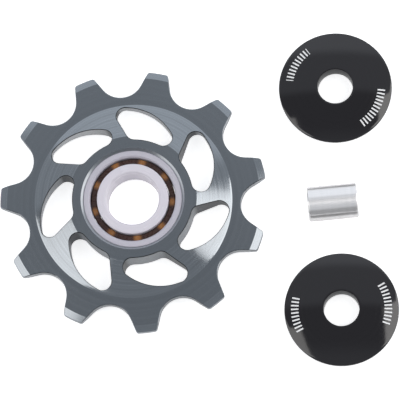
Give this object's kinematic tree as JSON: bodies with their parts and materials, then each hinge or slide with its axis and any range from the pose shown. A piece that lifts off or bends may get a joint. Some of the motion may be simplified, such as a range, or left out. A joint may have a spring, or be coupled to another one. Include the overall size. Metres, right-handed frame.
{
  "type": "derailleur jockey wheel",
  "caption": "Toothed chain guide wheel with a coned, windowed web and an open ball bearing, laid out with its two domed caps and its axle sleeve.",
  "frame": {"origin": "centre of the wheel's ball bearing, half way through its width", "axes": "+Z along the wheel's axis and up from the surface it lies on; the loose caps and the sleeve lie towards +X"},
  "size_m": [0.0687, 0.0588, 0.006],
  "materials": {
    "anodised_wheel": "turned and anodised, slate grey",
    "bearing_rings": "white, ground and polished",
    "bearing_balls": "white, polished",
    "cage_plastic": "dark brown, translucent",
    "anodised_caps": "turned and anodised, gloss black",
    "polished_sleeve": "polished"
  },
  "bodies": {
    "axle_side": {"bearing_inner_ring": "bearing_rings", "front_cap": "anodised_caps", "rear_cap": "anodised_caps", "axle_sleeve": "polished_sleeve"},
    "wheel": {"toothed_wheel": "anodised_wheel", "bearing_outer_ring": "bearing_rings"},
    "cage": {"ball_cage": "cage_plastic", "ball_1": "bearing_balls", "ball_2": "bearing_balls", "ball_3": "bearing_balls", "ball_4": "bearing_balls", "ball_5": "bearing_balls", "ball_6": "bearing_balls", "ball_7": "bearing_balls", "ball_8": "bearing_balls", "ball_9": "bearing_balls"}
  },
  "joints": [
    {"name": "wheel_spin", "type": "hinge", "parent": "axle_side", "child": "wheel", "pos_m": [0, 0, 0], "axis": [0, 0, 1], "continuous": true},
    {"name": "cage_orbit", "type": "hinge", "parent": "axle_side", "child": "cage", "pos_m": [0, 0, 0], "axis": [0, 0, 1], "continuous": true}
  ],
  "couplings": [
    {"joint": "cage_orbit", "follows": "wheel_spin", "ratio": 0.5738}
  ]
}
